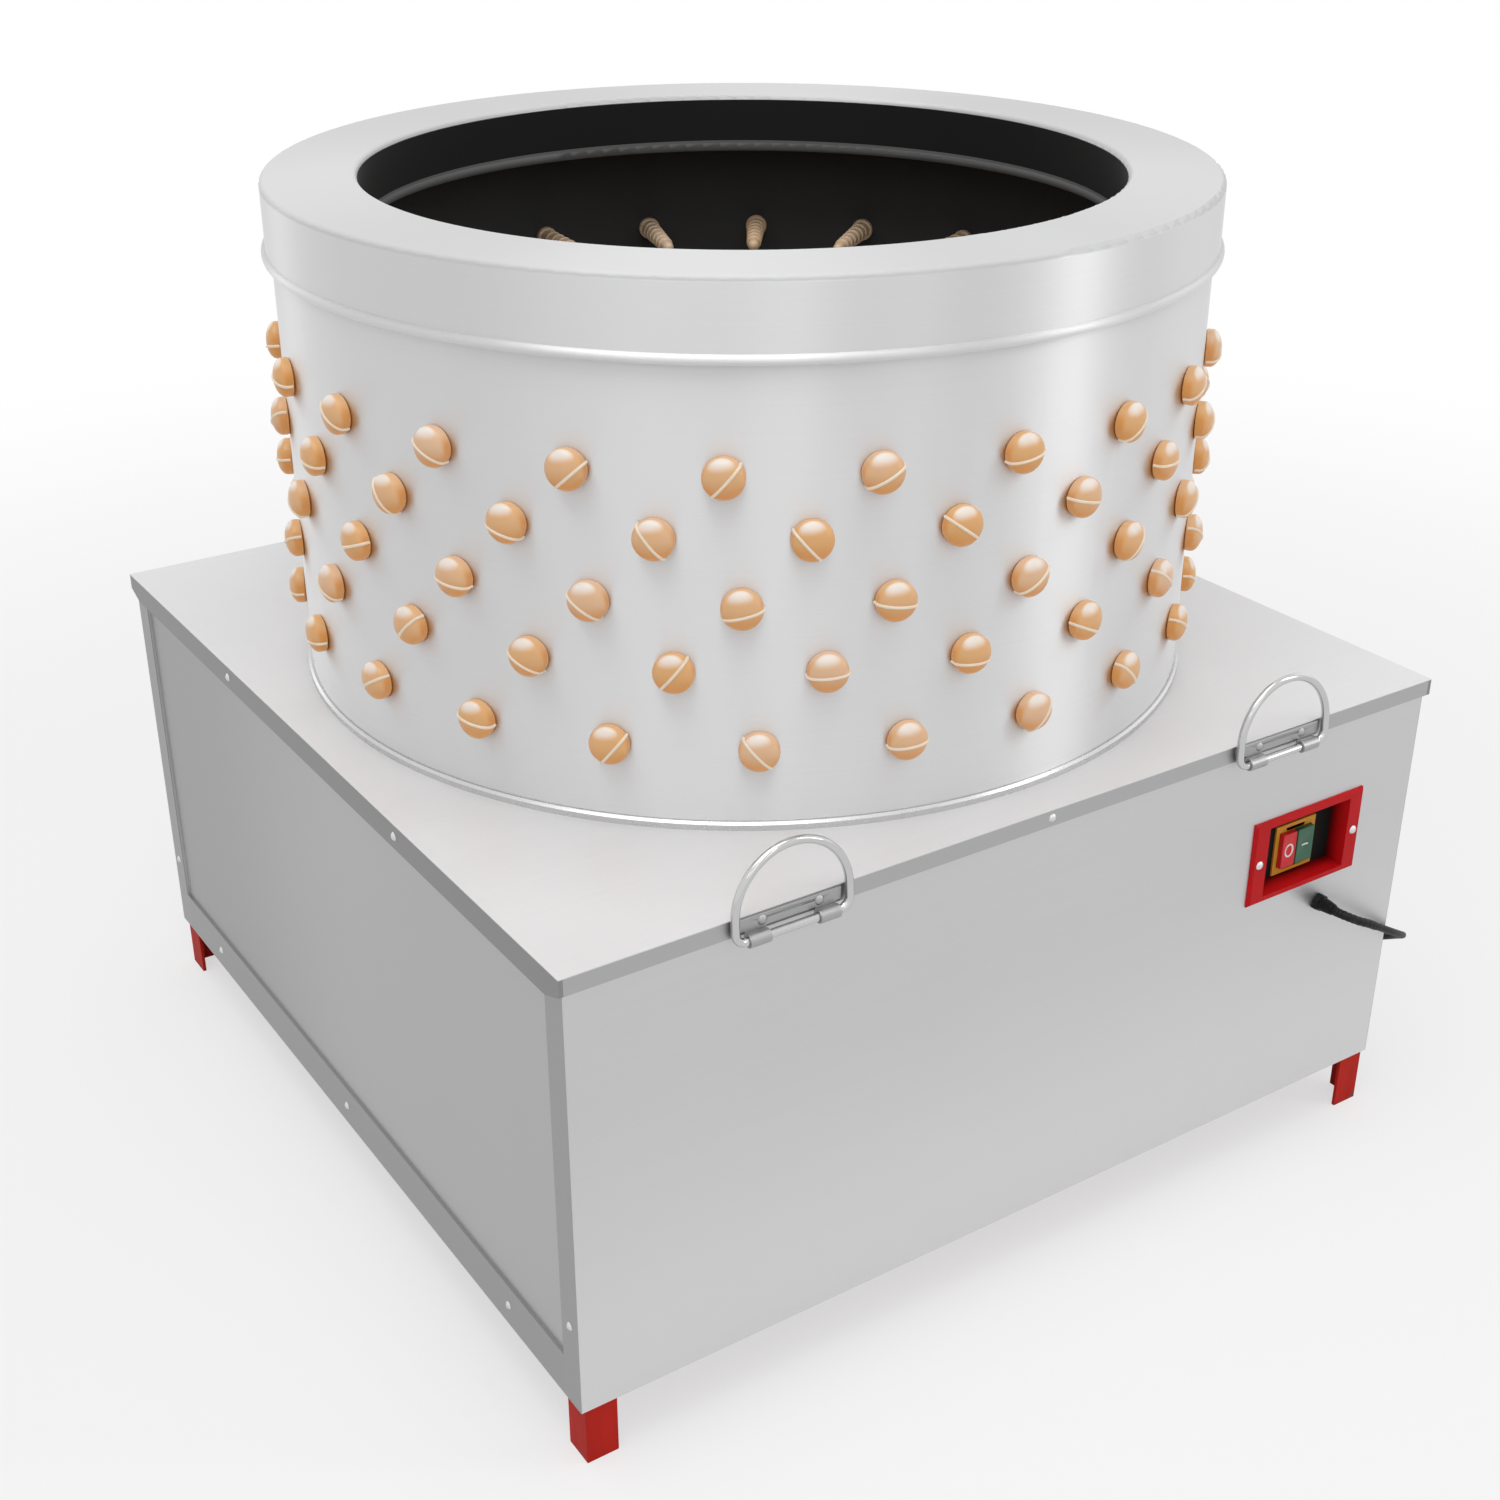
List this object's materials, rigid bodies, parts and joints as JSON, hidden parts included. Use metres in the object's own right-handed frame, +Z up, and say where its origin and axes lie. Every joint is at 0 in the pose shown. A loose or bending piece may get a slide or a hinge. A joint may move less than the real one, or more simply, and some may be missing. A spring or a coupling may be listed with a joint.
{
  "type": "poultry plucker",
  "caption": "Drum poultry plucker: a steel drum lined with rubber fingers and a belt-driven finger plate, on a square sheet-steel base with angle-iron feet, bail handles and a start-stop switch",
  "frame": {"origin": "on the floor under the drum's axis, at the middle of the square base", "axes": "+Z up along the drum's axis, -Y towards the front panel with the switch, +X to the switch's side"},
  "size_m": [0.8859, 0.8127, 0.774],
  "materials": {
    "red_paint": "brushed-on gloss enamel",
    "cabinet_steel": "satin sheet",
    "drum_steel": "vertically brushed sheet",
    "bright_steel": "turned bright",
    "handle_chrome": "polished",
    "finger_rubber": "moulded, slightly glossy",
    "cast_iron": "as cast, machined faces",
    "motor_paint": "satin enamel",
    "belt_rubber": "matt",
    "switch_red": "moulded gloss",
    "switch_black": "moulded satin",
    "switch_yellow": "satin",
    "stop_red": "moulded",
    "start_green": "moulded",
    "cord_black": "smooth sheath"
  },
  "bodies": {
    "machine": {"corner_legs": "red_paint", "top_rails": "red_paint", "bottom_rails": "red_paint", "cross_beams": "red_paint", "spindle_plate": "red_paint", "motor_plate": "red_paint", "lid": "cabinet_steel", "front_panel": "cabinet_steel", "back_panel": "cabinet_steel", "left_panel": "cabinet_steel", "right_panel": "cabinet_steel", "side_sills": "cabinet_steel", "feather_tray": "cabinet_steel", "drum_shell": "drum_steel", "drum_rim": "drum_steel", "drum_base_ring": "bright_steel", "panel_screws": "bright_steel", "spindle_bolts": "bright_steel", "upper_bearing": "bright_steel", "lower_bearing": "bright_steel", "motor_bolts": "bright_steel", "switch_screws": "bright_steel", "handle_plates": "handle_chrome", "handle_screws": "handle_chrome", "wall_fingers_row_1": "finger_rubber", "wall_fingers_row_2": "finger_rubber", "wall_fingers_row_3": "finger_rubber", "wall_fingers_row_4": "finger_rubber", "wall_fingers_row_5": "finger_rubber", "spindle_housing": "cast_iron", "motor_flange": "motor_paint", "motor_body": "motor_paint", "motor_fan_cover": "motor_paint", "motor_terminal_box": "motor_paint", "v_belt": "belt_rubber", "switch_housing": "switch_red", "switch_block": "switch_black", "cable_gland": "switch_black", "plug": "switch_black", "switch_plate": "switch_yellow", "cord_boot": "cord_black", "power_cord": "cord_black", "cord_coil": "cord_black", "cord_tie": "cord_black"},
    "rotor": {"rotor_plate": "drum_steel", "rotor_fingers_outer": "finger_rubber", "rotor_fingers_inner": "finger_rubber", "rotor_hub": "cast_iron", "rotor_hub_bolts": "bright_steel", "main_shaft": "bright_steel", "shaft_nut": "bright_steel", "driven_pulley": "cast_iron"},
    "motor_rotor": {"motor_shaft": "bright_steel", "motor_pulley": "cast_iron"},
    "left_handle": {"left_bail": "handle_chrome"},
    "right_handle": {"right_bail": "handle_chrome"},
    "stop_key": {"stop_button": "stop_red"},
    "start_key": {"start_button": "start_green"}
  },
  "joints": [
    {"name": "rotor_spin", "type": "hinge", "parent": "machine", "child": "rotor", "pos_m": [0, 0, 0.4], "axis": [0, 0, 1], "continuous": true},
    {"name": "motor_spin", "type": "hinge", "parent": "machine", "child": "motor_rotor", "pos_m": [0, -0.25, 0.1], "axis": [0, 0, 1], "continuous": true},
    {"name": "left_handle_swing", "type": "hinge", "parent": "machine", "child": "left_handle", "pos_m": [-0.22, -0.39225, 0.382], "axis": [1, 0, 0], "range_deg": [0, 180]},
    {"name": "right_handle_swing", "type": "hinge", "parent": "machine", "child": "right_handle", "pos_m": [0.22, -0.39225, 0.382], "axis": [1, 0, 0], "range_deg": [0, 180]},
    {"name": "stop_button_press", "type": "slide", "parent": "machine", "child": "stop_key", "axis": [0, 1, 0], "range_m": [0, 0.003], "stiffness_N_per_m": 900},
    {"name": "start_button_press", "type": "slide", "parent": "machine", "child": "start_key", "axis": [0, 1, 0], "range_m": [0, 0.003], "stiffness_N_per_m": 900}
  ],
  "couplings": [
    {"joint": "motor_spin", "follows": "rotor_spin", "ratio": 4}
  ]
}
